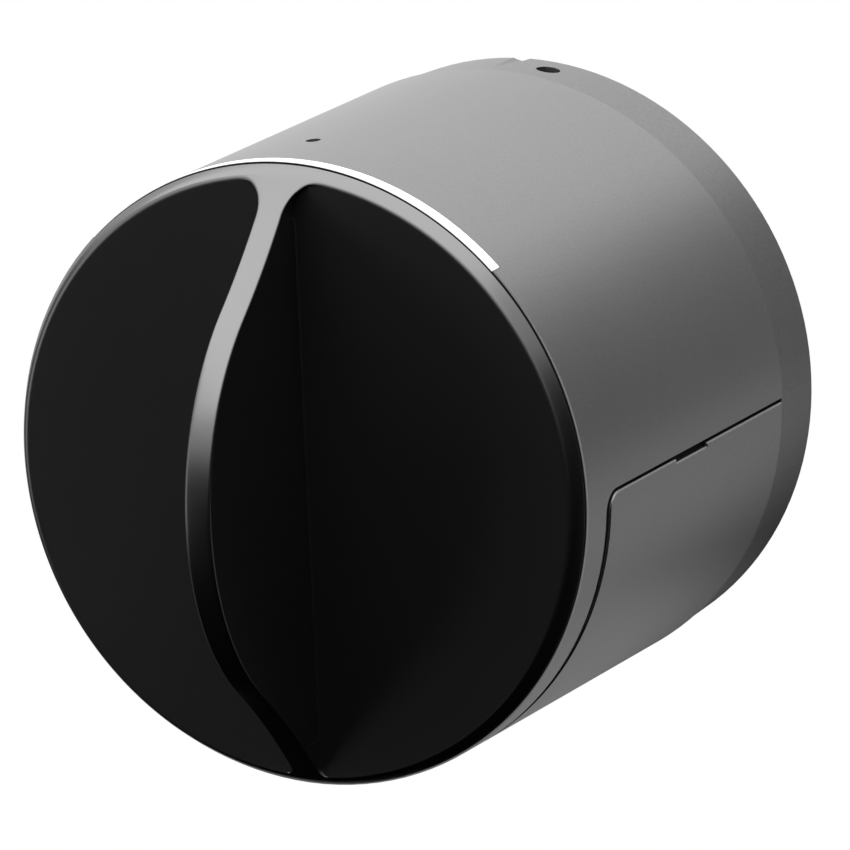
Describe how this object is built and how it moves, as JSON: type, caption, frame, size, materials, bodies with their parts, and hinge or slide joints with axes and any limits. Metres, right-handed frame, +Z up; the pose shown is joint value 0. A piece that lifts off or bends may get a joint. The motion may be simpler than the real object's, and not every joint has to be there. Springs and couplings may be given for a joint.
{
  "type": "smart lock",
  "caption": "Battery driven door lock actuator: a round housing with a finned thumb knob, a lit front edge, a lift-off battery cover and a rear socket for a cylinder adapter.",
  "frame": {"origin": "centre of the rear mounting face, on the axis of the knob", "axes": "+Y along the axis into the door, so the knob faces -Y; +Z up, towards the light strip; +X to the right for someone who faces the knob"},
  "size_m": [0.059, 0.067, 0.059],
  "materials": {
    "shell_metal": "satin dark anodised",
    "knob_metal": "satin black anodised",
    "ring_metal": "satin dark anodised, finely brushed",
    "diffuser": "milky translucent",
    "black_plastic": "moulded, fine texture",
    "bronze": "sintered, oiled",
    "gear_brass": "machined",
    "steel": "turned",
    "dark_steel": "black oxide",
    "spring_steel": "nickel plated sheet",
    "board": "green solder mask",
    "chip": "moulded epoxy",
    "lamp": "yellow phosphor in white resin",
    "shield": "tinned sheet",
    "cell_wrap": "shrink wrapped can",
    "plunger": "moulded",
    "magnet": "nickel plated",
    "motor_steel": "drawn can"
  },
  "bodies": {
    "lock_body": {"housing_shell": "shell_metal", "light_guide": "diffuser", "led_board": "board", "status_leds": "lamp", "front_bezel": "black_plastic", "bezel_screws": "dark_steel", "front_bush": "bronze", "front_bulkhead": "black_plastic", "idler_pin": "steel", "hall_sensor": "chip", "gearbox_screws": "steel", "planetary_gearbox": "steel", "motor_can": "motor_steel", "motor_endcap": "black_plastic", "battery_tray": "black_plastic", "front_contacts": "spring_steel", "rear_contacts": "spring_steel", "main_board": "board", "board_screws": "steel", "radio_module": "shield", "controller_chip": "chip", "reset_switch": "chip", "rear_bulkhead": "black_plastic", "rear_bush": "bronze", "chassis_screws": "steel", "rear_ring": "ring_metal", "rear_screws": "dark_steel", "set_screw": "dark_steel", "battery_cell_1": "cell_wrap", "battery_cell_2": "cell_wrap", "battery_cell_3": "cell_wrap", "battery_cell_4": "cell_wrap"},
    "knob_assembly": {"knob": "knob_metal", "main_gear": "gear_brass", "knob_screws": "steel", "position_magnets": "magnet", "spindle": "steel", "spindle_clip": "spring_steel", "drive_coupling": "steel", "coupling_pin": "steel"},
    "idler": {"idler_gear": "gear_brass"},
    "motor_output": {"motor_pinion": "gear_brass", "output_shaft": "steel"},
    "cover": {"battery_cover": "shell_metal", "cover_latches": "black_plastic"},
    "reset_button": {"reset_plunger": "plunger"}
  },
  "joints": [
    {"name": "knob_turn", "type": "hinge", "parent": "lock_body", "child": "knob_assembly", "pos_m": [0, 0, 0], "axis": [0, 1, 0], "continuous": true},
    {"name": "idler_spin", "type": "hinge", "parent": "lock_body", "child": "idler", "pos_m": [0.01513, -0.04465, 0.01064], "axis": [0, 1, 0], "continuous": true},
    {"name": "motor_output_spin", "type": "hinge", "parent": "lock_body", "child": "motor_output", "pos_m": [0.00845, -0.04465, 0.01589], "axis": [0, 1, 0], "continuous": true},
    {"name": "cover_lift", "type": "slide", "parent": "lock_body", "child": "cover", "axis": [0, 0, -1], "range_m": [0, 0.034]},
    {"name": "reset_press", "type": "slide", "parent": "lock_body", "child": "reset_button", "axis": [0.068, 0, -0.9977], "range_m": [0, 0.0003], "stiffness_N_per_m": 4000}
  ],
  "couplings": [
    {"joint": "idler_spin", "follows": "knob_turn", "ratio": -2.3636},
    {"joint": "motor_output_spin", "follows": "knob_turn", "ratio": 4.3333}
  ]
}
